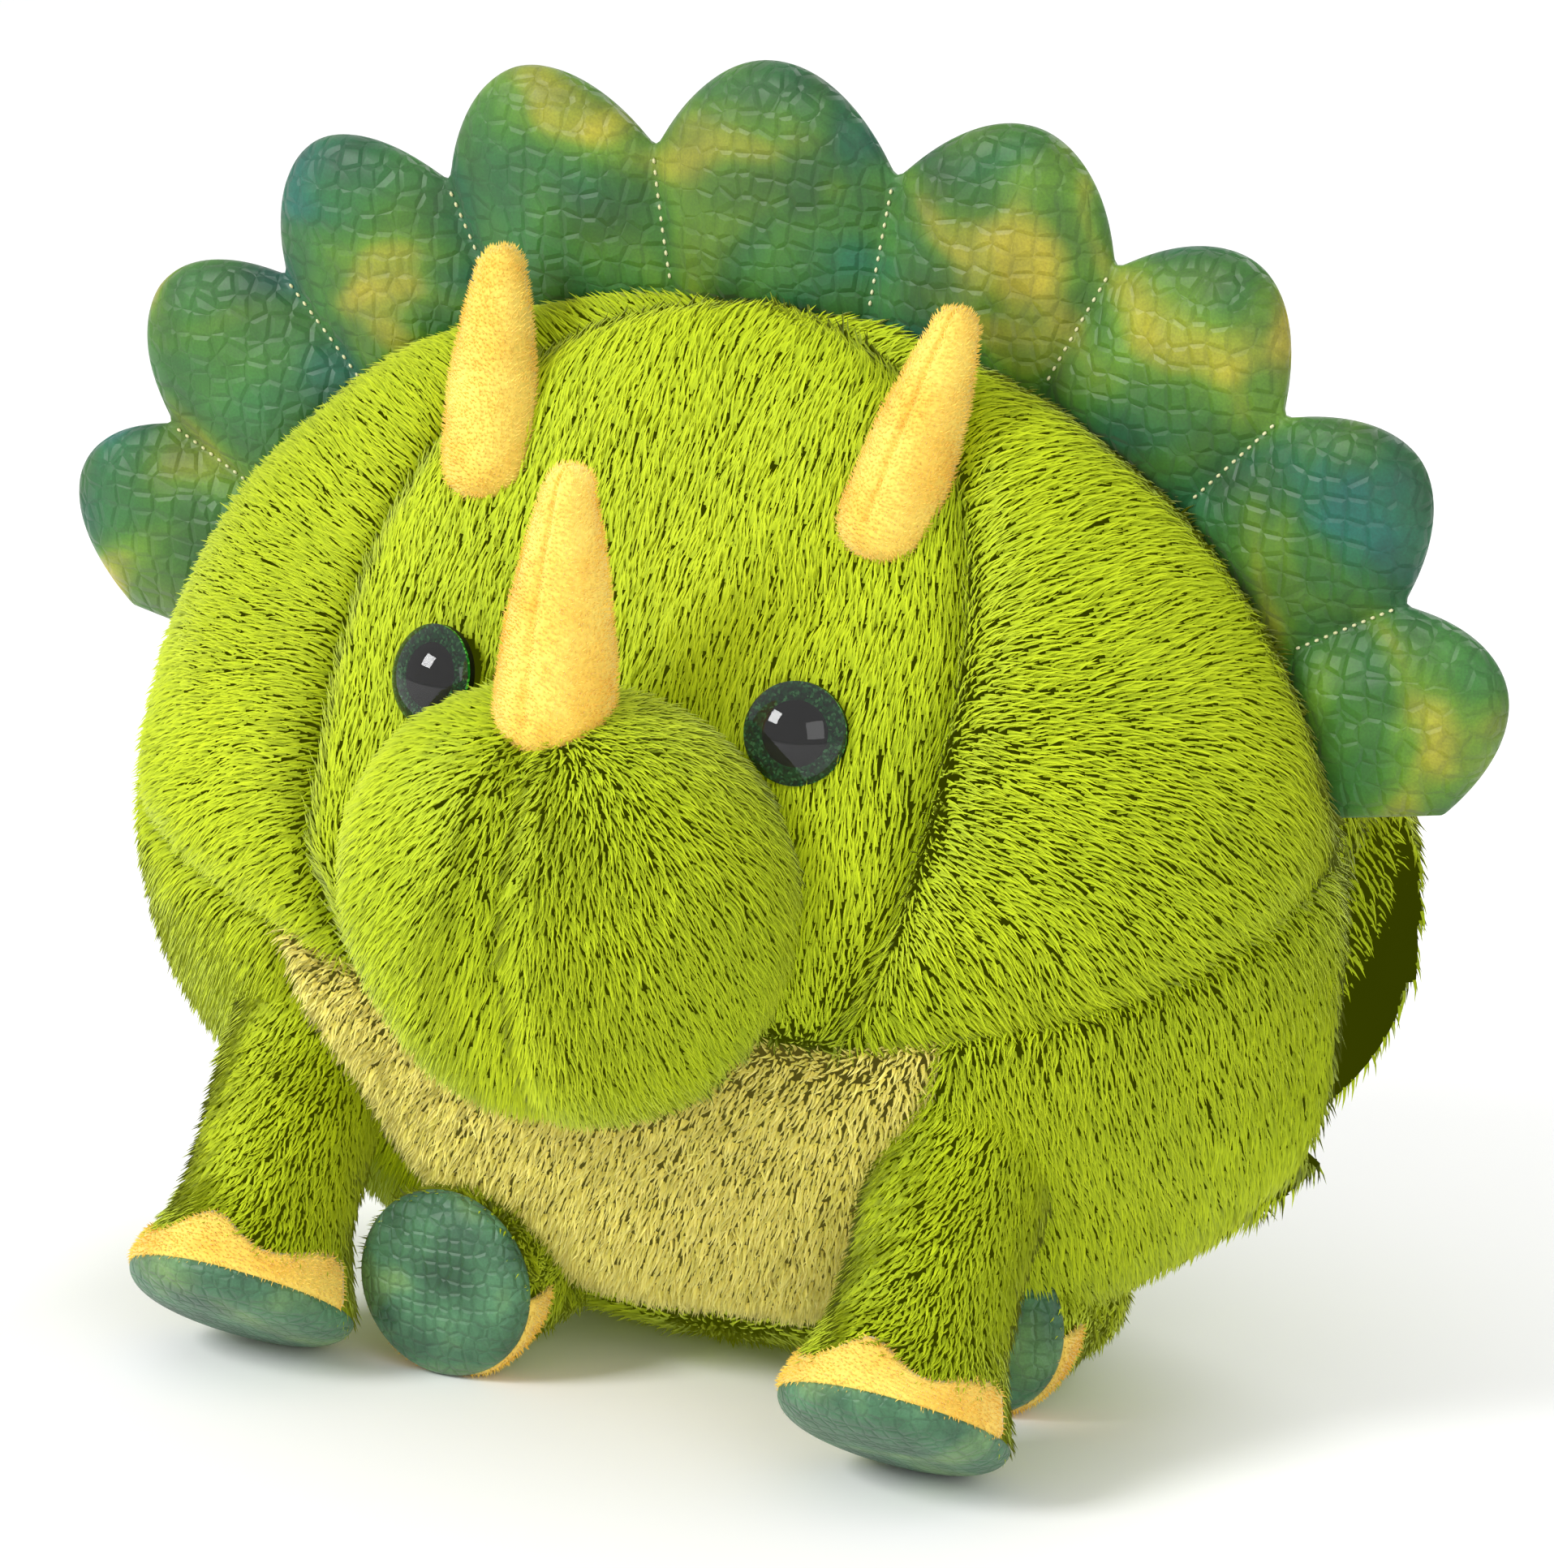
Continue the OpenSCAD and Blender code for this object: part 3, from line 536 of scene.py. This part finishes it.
def buildBody():
    bm = bmesh.new()
    panel = bm.faces.layers.int.new("panel")
    bmesh.ops.create_uvsphere(bm, u_segments=144, v_segments=90, radius=1)
    for face in bm.faces:
        c = face.calc_center_median().normalized()
        face[panel] = panelAt(math.degrees(math.asin(c.z)), math.degrees(math.atan2(c.y, c.x)))
    for vert in bm.verts:
        t = math.degrees(math.asin(max(-1, min(1, vert.co.z))))
        a = math.degrees(math.atan2(vert.co.y, vert.co.x))
        vert.co = bodyPoint(climbed(t, a), warped(t, a))
    mouths = [f for f in bm.faces if abs(f.calc_center_median().x) > 0.1 and inMouth(f.calc_center_median())]
    bmesh.ops.delete(bm, geom=mouths, context="FACES")
    rims = [e for e in bm.edges if len(e.link_faces) == 1]
    for vert in {v for e in rims for v in e.verts}:
        snapToMouth(vert)
    bridge = bmesh.ops.bridge_loops(bm, edges=rims)
    for face in bridge["faces"]:
        face[panel] = 9
    lengths = [e for e in bridge["edges"] if abs(e.verts[0].co.x - e.verts[1].co.x) > 0.1]
    bmesh.ops.subdivide_edges(bm, edges=lengths, cuts=36, use_grid_fill=True)
    for vert in bm.verts:
        if all(f[panel] == 9 for f in vert.link_faces):
            u = abs(vert.co.x) / 0.17
            open_ = smooth((u - 0.6) / 0.4)
            angle = mouthAngle(vert.co)
            halfDepth = tunnel["halfDepth"] + (tunnel["mouthDepth"] - tunnel["halfDepth"]) * open_
            halfHeight = tunnel["halfHeight"] + (tunnel["mouthHeight"] - tunnel["halfHeight"]) * open_
            vert.co.y = tunnel["y"] + math.cos(angle) * halfDepth
            vert.co.z = tunnel["z"] + math.sin(angle) * halfHeight
    bmesh.ops.recalc_face_normals(bm, faces=bm.faces)
    return addMesh("bodyForm", bm)


def seamVertices(mesh):
    ids = mesh.attributes["panel"].data
    touching = [set() for _ in mesh.vertices]
    for face in mesh.polygons:
        for index in face.vertices:
            touching[index].add(ids[face.index].value)
    return [i for i, s in enumerate(touching) if len(s) > 1 or 9 in s]


# The panels are puffed by cloth simulation while their seams stay sewn, and each seam is then drawn in.
def puff(piece, pinned, pressure, cap, frames):
    group = piece.vertex_groups.new(name="sewn")
    group.add(pinned, 1.0, "REPLACE")
    cloth = piece.modifiers.new("puff", "CLOTH")
    settings = cloth.settings
    settings.quality = 4
    settings.use_pressure = True
    settings.uniform_pressure_force = pressure
    settings.vertex_group_mass = "sewn"
    settings.effector_weights.gravity = 0
    cloth.collision_settings.use_collision = False
    scene = bpy.context.scene
    for number in range(1, frames + 1):
        scene.frame_set(number)
    shown = piece.evaluated_get(bpy.context.evaluated_depsgraph_get())
    moved = [v.co.copy() for v in shown.data.vertices]
    for vert, goal in zip(piece.data.vertices, moved):
        step = goal - vert.co
        if step.length > cap:
            step *= cap / step.length
        vert.co += step
    piece.modifiers.remove(cloth)
    piece.vertex_groups.remove(group)
    scene.frame_set(1)


print("body")
bodyForm = buildBody()
seams = seamVertices(bodyForm.data)
puff(bodyForm, seams, 1.6, 0.007, 14)
bodyForm.data.update()
sewn = {i: bodyForm.data.vertices[i].co.copy() for i in seams}


# Every vertex near a seam sinks a little, so that the pile parts there.
def drawSeams(piece, points, depth, width):
    tree = kdtree.KDTree(len(points))
    for index, point in enumerate(points):
        tree.insert(point, index)
    tree.balance()
    normals = [v.normal.copy() for v in piece.data.vertices]
    for vert, normal in zip(piece.data.vertices, normals):
        distance = tree.find(vert.co)[2]
        vert.co -= normal * depth * math.exp(-(distance / width) ** 2)
        vert.co += normal * 0.0022 * wave(vert.co, 22, 3.0)


grooves = [p for p in sewn.values() if not (abs(p.x) < 0.175 and inMouth(p, 0.97)) and p.z > 0.012]
drawSeams(bodyForm, grooves, headSize["groove"], headSize["grooveWidth"])


def splitPanel(name, index):
    bm = bmesh.new()
    bm.from_mesh(bodyForm.data)
    layer = bm.faces.layers.int["panel"]
    bmesh.ops.delete(bm, geom=[f for f in bm.faces if f[layer] != index], context="FACES")
    return giveWall(addMesh(name, bm), 0.0015)


# Eyes: the CAD domes, discs and pupils with their finishes
def eyeCentre(sign):
    low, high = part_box("eye_iris_left" if sign > 0 else "eye_iris_right")
    return (low + high) / 2


def bodyOutward(p, n):
    out = p - Vector((0, 0, headSize["middle"]))
    return n.dot(out) > 0.25 * out.length


def tunnelOutward(p, n):
    away = Vector((0, p.y - tunnel["y"], p.z - tunnel["z"]))
    return n.dot(away) < 0.2 * away.length and abs(n.x) < 0.97


muzzle = {"centre": Vector((0, -0.108, 0.157)), "halfWidth": 0.067, "halfHeight": 0.0575,
          "front": 0.047, "root": 0.030}
joints = {j["name"]: j for j in frame["joints"]}
bald = [(eyeCentre(sign), 0.0145) for _, sign in sides]
bald += [(Vector(joints["brow_horn_" + name + "_bend"]["pos_m"]) + Vector((0, 0.004, 0.002)), 0.0100)
         for name, _ in sides]


def cheekRise(p):
    return -0.5 + 1.3 * smooth((p.z - 0.13) / 0.14)


combs = {
    "forehead": lambda p: (0.12, -0.1, 1.0), "belly": lambda p: (0, 0, -1),
    "headLeft": lambda p: (0.9, 0, cheekRise(p)), "headRight": lambda p: (-0.9, 0, cheekRise(p)),
    "sideLeft": lambda p: (0.5, 0, -0.85), "sideRight": lambda p: (-0.5, 0, -0.85),
    "backLeft": lambda p: (0.2, 0, -1), "backRight": lambda p: (-0.2, 0, -1),
    "base": lambda p: (p.x, p.y, 0), "tunnel": lambda p: (p.x * 4, 0, -0.4)}
replaced = {
    "forehead": ["forehead_panel", "head_filling"],
    "headLeft": ["head_panel_left"], "headRight": ["head_panel_right"],
    "sideLeft": ["side_panel_left"], "sideRight": ["side_panel_right"], "belly": ["belly_panel"],
    "backLeft": ["back_panel_left", "back_filling"], "backRight": ["back_panel_right"],
    "base": ["base_panel"],
    "tunnel": ["pocket_lining"]}
pileOf = {"belly": bellyPile, "base": hiddenPile, "tunnel": hiddenPile,
          "backLeft": backPile, "backRight": backPile}
for index, name in enumerate(panelNames):
    panel = splitPanel(name + "Panel", index)
    outward = tunnelOutward if name == "tunnel" else bodyOutward
    markPile(panel, outward, combs[name])
    finish = butter if name == "belly" else lime
    spec = pileOf.get(name, limePile)
    growPile(panel, spec, finish, bald, seed=index + 1)
    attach(panel, "root")
    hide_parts(*replaced[name])
bpy.data.objects.remove(bodyForm)


# Muzzle in two sewn halves
print("muzzle")


def muzzlePoint(t, a):
    st, ct = math.sin(math.radians(t)), math.cos(math.radians(t))
    sa, ca = math.sin(math.radians(a)), math.cos(math.radians(a))
    x = muzzle["halfWidth"] * power(ct * ca, 0.9)
    z = muzzle["halfHeight"] * power(st, 0.9)
    y = ct * sa
    depth = muzzle["front"] * power(y, 0.85) if y < 0 else muzzle["root"] * y
    point = muzzle["centre"] + Vector((x, depth, z - 0.002))
    chin = smooth((muzzle["centre"].z - point.z) / muzzle["halfHeight"])
    point.x *= 1 - 0.10 * chin
    point.z -= 0.004 * chin * (1 if y < 0 else 0)
    groove = math.exp(-(point.x / 0.005) ** 2) * 0.0035
    return point + Vector((0, groove if y < 0 else 0, 0)) + Vector((0, 1, 0)) * 0.002 * wave(point, 30, 8)


def muzzleComb(p):
    return Vector((0.75 * math.tanh(p.x / 0.03), 0.25, -0.7))


for name, sign in sides:
    bm = roundForm(112, 84, muzzlePoint)
    whole = bm.verts[:] + bm.edges[:] + bm.faces[:]
    bmesh.ops.bisect_plane(bm, geom=whole, plane_co=(0, 0, 0), plane_no=(sign, 0, 0),
                           clear_inner=True)
    bmesh.ops.holes_fill(bm, edges=[e for e in bm.edges if len(e.link_faces) == 1], sides=0)
    half = addMesh("muzzle" + name.capitalize(), bm)
    markPile(half, lambda p, n: p.y < -0.085 and (abs(n.x) < 0.999 or abs(p.x) > 0.003), muzzleComb)
    noseRoot = Vector(joints["nose_horn_bend"]["pos_m"]) + Vector((0, -0.002, 0.006))
    growPile(half, limePile, lime, [(noseRoot, 0.0125)] + bald[:2],
             seed=20 + sign)
    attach(half, "root")
    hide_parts("muzzle_skin_" + name, *(["muzzle_filling"] if sign > 0 else []))


# Horns
print("horns")
noseHorn = {"root": 0.0165, "tip": 0.0070, "length": 0.072, "bow": (0.003, -0.002),
            "sink": 0.006, "fullness": 1.25}
browHorn = {"root": 0.0132, "tip": 0.0068, "length": 0.065, "bow": (-0.002, 0.004),
            "sink": 0.007, "fullness": 1.35}


def hornPoint(size, sign):
    def place(t, a):
        k = (t + 90) / 180
        tip = size["length"] - size["tip"]
        if k < 0.2:
            turn = k / 0.2 * math.pi / 2
            r, z = size["root"] * math.sin(turn), -0.8 * size["root"] * math.cos(turn)
        elif k > 0.86:
            turn = (k - 0.86) / 0.14 * math.pi / 2
            r, z = size["tip"] * math.cos(turn), tip + size["tip"] * math.sin(turn)
        else:
            s = (k - 0.2) / 0.66
            r = size["root"] + (size["tip"] - size["root"]) * s ** size["fullness"]
            r, z = r + 0.0012 * math.sin(math.pi * s), tip * s
        if 0.2 <= k:
            seamTurn = abs((a + 95 * sign + 180) % 360 - 180) / 6.0
            ring = (math.cos(math.radians(a)) * 0.01, z, 0.01 * math.sin(math.radians(a)))
            r -= 0.0014 * math.exp(-seamTurn ** 2) + 0.0006 * wave(ring, 90, 4)
        f = (z / size["length"]) ** 2
        return (r * math.cos(math.radians(a)) + size["bow"][0] * f * sign,
                r * math.sin(math.radians(a)) + size["bow"][1] * f,
                z - size["sink"])
    return place


def makeHorn(name, node, size, sign, turn, place):
    bm = roundForm(96, 60, hornPoint(size, sign), Matrix.Translation(place) @ turn)
    horn = addMesh(name, bm)
    axis = turn.to_3x3() @ Vector((0, 0, 1))
    markPile(horn, lambda p, n: True, lambda p: axis)
    growPile(horn, velourPile, hornYellow, (), seed=30 + sign + len(name))
    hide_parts(*node)
    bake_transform(horn)


nosePlace = joints["nose_horn_bend"]["pos_m"]
makeHorn("noseHorn", ["nose_horn_skin", "nose_horn_filling"], noseHorn, 1,
         Matrix.Rotation(math.radians(-3), 4, "X"), nosePlace)
for name, sign in sides:
    turn = Matrix.Rotation(math.radians(12 * sign), 4, "Y") @ Matrix.Rotation(math.radians(-18), 4, "X")
    nodes = ["brow_horn_skin_" + name, "brow_horn_filling_" + name]
    place = Vector(joints["brow_horn_" + name + "_bend"]["pos_m"]) + Vector((0.002 * sign, 0.005, 0.003))
    makeHorn("browHorn" + name.capitalize(), nodes, browHorn, sign, turn, place)

# Eyes
print("eyes")
tree, shader = newMaterial("eyeLens")
shader.inputs["Base Color"].default_value = (0.01, 0.01, 0.01, 1)
shader.inputs["Roughness"].default_value = 0.03
shader.inputs["IOR"].default_value = 1.5
shader.inputs["Specular IOR Level"].default_value = 0.9
shader.inputs["Alpha"].default_value = 0.45
tree, shader = newMaterial("eyeGlitter")
flakes = tree.nodes.new("ShaderNodeTexVoronoi")
flakes.inputs["Scale"].default_value = 1500
link(tree, tree.nodes.new("ShaderNodeTexCoord").outputs["Object"], flakes.inputs["Vector"])
# green glitter flakes; the brightest flakes are painted glints
glitterAndGlintStops = [(0.3, (0.0, 0.08, 0.015)), (0.65, (0.0, 0.32, 0.06)), (0.88, (0.25, 1.0, 0.3))]
glitterAndGlints = rampNode(tree, flakes.outputs["Color"], glitterAndGlintStops)
link(tree, glitterAndGlints, shader.inputs["Base Color"])
shader.inputs["Metallic"].default_value = 0.6
shader.inputs["Roughness"].default_value = 0.3
tree, shader = newMaterial("eyeBlack")
blackStops = [(0.3, (0.002, 0.002, 0.002)), (0.8, (0.008, 0.008, 0.008))]
speck = rampNode(tree, noiseNode(tree, 500).outputs["Fac"], blackStops)
link(tree, speck, shader.inputs["Base Color"])
shader.inputs["Roughness"].default_value = 0.5
shader.inputs["Specular IOR Level"].default_value = 0.1
tree, shader = newMaterial("washerWhite")
whiteStops = [(0.3, (0.7, 0.7, 0.68)), (0.8, (0.82, 0.82, 0.8))]
speck = rampNode(tree, noiseNode(tree, 300).outputs["Fac"], whiteStops)
link(tree, speck, shader.inputs["Base Color"])
eyeFinish = {"lens": "eyeLens", "iris": "eyeGlitter", "pupil": "eyeBlack", "shank": "eyeBlack",
             "washer": "washerWhite"}
for name, sign in sides:
    for part, finish in eyeFinish.items():
        node = frame["nodes"]["eye_" + part + "_" + name]
        node.data.materials.clear()
        node.data.materials.append(bpy.data.materials[finish])

# Frill
print("frill")
frillSize = {"lobes": 9, "start": 9, "notch": 0.036, "lobe": 0.0635, "low": -0.008, "cloth": 0.0022,
             "puff": 0.0085, "endTrim": 0.24, "columns": 22, "rows": 30}


def rimPoint(t, height):
    s = power(math.sin(math.radians(t)), 2 / 2.1)
    r = abs(math.cos(math.radians(t))) ** (2 / 2.1)
    z = headSize["middle"] + (headSize["halfHeight"] + height) * s
    return Vector(((headSize["halfWidth"] + height) * r, 0, z))


def frillPoint(u, v):
    t = frillSize["start"] + (180 - 2 * frillSize["start"]) * u
    across = 2 * (u * frillSize["lobes"] % 1.0) - 1 if u < 1 else 1
    top = frillSize["notch"] + (frillSize["lobe"] - frillSize["notch"]) * (1 - abs(across) ** 1.9)
    top *= 1 - frillSize["endTrim"] * abs(2 * u - 1) ** 4
    height = frillSize["low"] + (top - frillSize["low"]) * v
    point = rimPoint(min(t, 180 - t), height)
    return Vector((-point.x if t > 90 else point.x, 0, point.z)), across


def makeFrill():
    bm = bmesh.new()
    columns = frillSize["lobes"] * frillSize["columns"]
    bmesh.ops.create_grid(bm, x_segments=columns, y_segments=frillSize["rows"], size=0.5)
    puffing = {}
    for vert in bm.verts:
        u, v = vert.co.x + 0.5, vert.co.y + 0.5
        point, across = frillPoint(u, v)
        rise = (1 - abs(across) ** 2.4) ** 0.8 * (1 - abs(2 * v - 1) ** 4) ** 0.6 if v < 1 else 0
        crease = 0.0016 * wave((across * 0.02 + u, v * 0.05, u), 30, 2)
        sway = 0.004 * wave(point, 14, 6) * v
        vert.co = point
        puffing[vert.index] = (rise * frillSize["puff"] * (1 + 80 * crease), sway)
    flat = [(v.co.copy(), puffing[v.index]) for v in bm.verts]
    front = bm.faces[:]
    back = bmesh.ops.duplicate(bm, geom=bm.verts[:] + bm.edges[:] + front)
    copies = [g for g in back["geom"] if isinstance(g, bmesh.types.BMVert)]
    count = len(flat)
    bm.verts.ensure_lookup_table()
    for vert in list(bm.verts)[:count]:
        rise, sway = puffing[vert.index] if vert.index in puffing else (0, 0)
        vert.co.y = sway - rise - frillSize["cloth"] / 2
    for (place, (rise, sway)), vert in zip(flat, copies):
        vert.co = place + Vector((0, sway + rise * 0.45 + frillSize["cloth"] / 2, 0))
    rims = [e for e in bm.edges if len(e.link_faces) == 1]
    bmesh.ops.bridge_loops(bm, edges=rims)
    bmesh.ops.recalc_face_normals(bm, faces=bm.faces)
    frill = addMesh("frill", bm)
    frill.data.materials.append(frillPrint)
    frill.data.materials.append(cream)
    for face in frill.data.polygons:
        face.material_index = 1 if face.normal.y > 0.35 or face.area < 1e-6 and face.normal.y > -0.2 else 0
    subdivide = frill.modifiers.new("smooth", "SUBSURF")
    subdivide.levels = subdivide.render_levels = 1
    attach(frill, "root")
    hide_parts("frill_front", "frill_padding", "frill_back")


makeFrill()


def makeStitches():
    bm = bmesh.new()
    for k in range(1, frillSize["lobes"]):
        for i in range(11):
            v = 0.16 + 0.075 * i
            a, _ = frillPoint(k / frillSize["lobes"] - 1e-6, v)
            b, _ = frillPoint(k / frillSize["lobes"] - 1e-6, v + 0.04)
            turn = (b - a).to_track_quat("Z", "Y").to_matrix().to_4x4()
            sway = 0.004 * wave((a + b) / 2, 14, 6) * v
            middle = (a + b) / 2 + Vector((0, sway - frillSize["cloth"] / 2 - 0.0011, 0))
            size = Matrix.Diagonal((0.0005, 0.0005, (b - a).length / 2, 1))
            shape = Matrix.Translation(middle) @ turn @ size
            bmesh.ops.create_icosphere(bm, subdivisions=1, radius=1, matrix=shape)
    stitches = addMesh("frillStitches", bm)
    stitches.data.materials.append(cream)
    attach(stitches, "root")


makeStitches()

# Legs
print("legs")
frontLeg = {"r": 0.0234, "paw": 0.0318, "length": 0.0925, "lean": -32, "dome": 0.0095,
            "body": "front_leg_", "kind": "front"}
rearLeg = {"r": 0.0235, "paw": 0.0260, "length": 0.046, "lean": -90, "dome": 0.0075,
           "body": "rear_leg_", "kind": "rear"}
toe = {"height": 0.0175, "wave": 0.0040}


def limbPoint(size, grow=0.0, low=0.0):
    def place(t, a):
        k = (t + 90) / 180
        span = size["length"] - low
        if k < 0.12:
            r, z = (size["paw"] + grow) * (k / 0.12) ** 0.8, -span
        elif k > 0.8:
            turn = (k - 0.8) / 0.2 * math.pi / 2
            r, z = size["r"] * math.cos(turn), size["r"] * math.sin(turn)
        else:
            s = (k - 0.12) / 0.68
            z = -span * (1 - s)
            flare = smooth(1 - (z + size["length"]) / 0.034)
            r = size["r"] + grow + (size["paw"] - size["r"]) * flare
            r += 0.0012 * wave((0.02 * math.cos(math.radians(a)), 0.02 * math.sin(math.radians(a)), z), 45, 5)
        return (r * math.cos(math.radians(a)), r * math.sin(math.radians(a)), z)
    return place


def toeTop(size, x):
    return -size["length"] + toe["height"] + toe["wave"] * math.cos(x / size["paw"] * math.pi * 1.7)


def makeLeg(size, name, sign):
    body = size["body"] + name
    joint = [j for j in frame["joints"] if j["child"] == body][0]
    hip = Vector(joint["pos_m"])
    place = Matrix.Translation(hip) @ Matrix.Rotation(math.radians(size["lean"]), 4, "X")
    back = place.inverted()
    facing = -1 if size["kind"] == "front" else 1
    form = roundForm(64, 56, limbPoint(size, 0, 0.0055), place)
    leg = addMesh(size["kind"] + "Leg" + name.capitalize(), form)

    def grows(p, n):
        q = back @ p
        capped = q.y * facing > 0.001 and q.z < toeTop(size, q.x) - 0.001
        return q.z > -size["length"] + 0.006 and not capped
    markPile(leg, grows, lambda p: place.to_3x3() @ Vector((0, 0, -1)))
    growPile(leg, limePile, lime, (), seed=40 + sign + (5 if size["kind"] == "rear" else 0))
    bm = bmesh.new()
    bmesh.ops.create_grid(bm, x_segments=72, y_segments=12, size=0.5)
    for vert in bm.verts:
        u, v = vert.co.x + 0.5, vert.co.y + 0.5
        turn = math.radians(facing * (2 + 176 * u))
        x = size["paw"] * math.cos(turn)
        z = (1 - v) * (-size["length"] + 0.0046) + v * toeTop(size, x)
        r = size["r"] + (size["paw"] - size["r"]) * smooth(1 - (z + size["length"]) / 0.034) + 0.0026
        r -= 0.0014 * max(0, 2 * abs(v - 0.5) - 0.7) / 0.3
        vert.co = (r * math.cos(turn), r * math.sin(turn), z)
    bmesh.ops.transform(bm, matrix=place, verts=bm.verts)
    bmesh.ops.recalc_face_normals(bm, faces=bm.faces)
    cap = addMesh(size["kind"] + "Toe" + name.capitalize(), bm)
    heart = place @ Vector((0, 0, -size["length"]))
    if sum((f.normal.dot(f.center - heart) for f in cap.data.polygons)) < 0:
        cap.data.flip_normals()
    giveWall(cap, 0.0018)
    markPile(cap, lambda p, n: n.dot(p - heart) > 0, lambda p: place.to_3x3() @ Vector((0, 0, -1)))
    growPile(cap, velourPile, hornYellow, (), seed=70 + sign)

    def solePoint(t, a):
        s, c = math.sin(math.radians(t)), math.cos(math.radians(t))
        r = (size["paw"] + 0.0015) * abs(c) ** 0.55
        return (r * math.cos(math.radians(a)), r * math.sin(math.radians(a)),
                -size["length"] + 0.0045 + s * (0.0035 if s > 0 else size["dome"]))
    sole = addMesh(size["kind"] + "Sole" + name.capitalize(), roundForm(72, 30, solePoint, place))
    for vert in sole.data.vertices:
        vert.co.z = max(vert.co.z, 0.0003)
    sole.data.materials.append(solePrint)
    subdivide = sole.modifiers.new("smooth", "SUBSURF")
    subdivide.levels = subdivide.render_levels = 1
    dressed = ((leg, "_leg_sleeve_", "lime_plush"), (cap, "_toe_cap_", "yellow_velour"),
               (sole, "_sole_", "sole_velour"))
    for piece, node, slotName in dressed:
        if piece != leg:
            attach(piece, body)
        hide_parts(size["kind"] + node + name)
    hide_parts(size["kind"] + "_leg_filling_" + name)
    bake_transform(leg)


for name, sign in sides:
    makeLeg(frontLeg, name, sign)
    makeLeg(rearLeg, name, sign)

# Tail
print("tail")
tailSize = {"root": 0.024, "tip": 0.009, "length": 0.058, "bow": (0.0, 0.0), "sink": 0.004, "fullness": 1.1}
tailPlace = Vector(joints["tail_wag"]["pos_m"])
tailTurn = Matrix.Translation(tailPlace) @ Matrix.Rotation(math.radians(-98), 4, "X")
tail = addMesh("tail", roundForm(64, 48, hornPoint(tailSize, 1), tailTurn))
markPile(tail, lambda p, n: p.y > tailPlace.y + 0.004, lambda p: (0, 1, 0))
growPile(tail, limePile, lime, (), seed=60)
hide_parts("tail_skin", "tail_filling")
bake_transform(tail)

makeStage()
makeCamera()
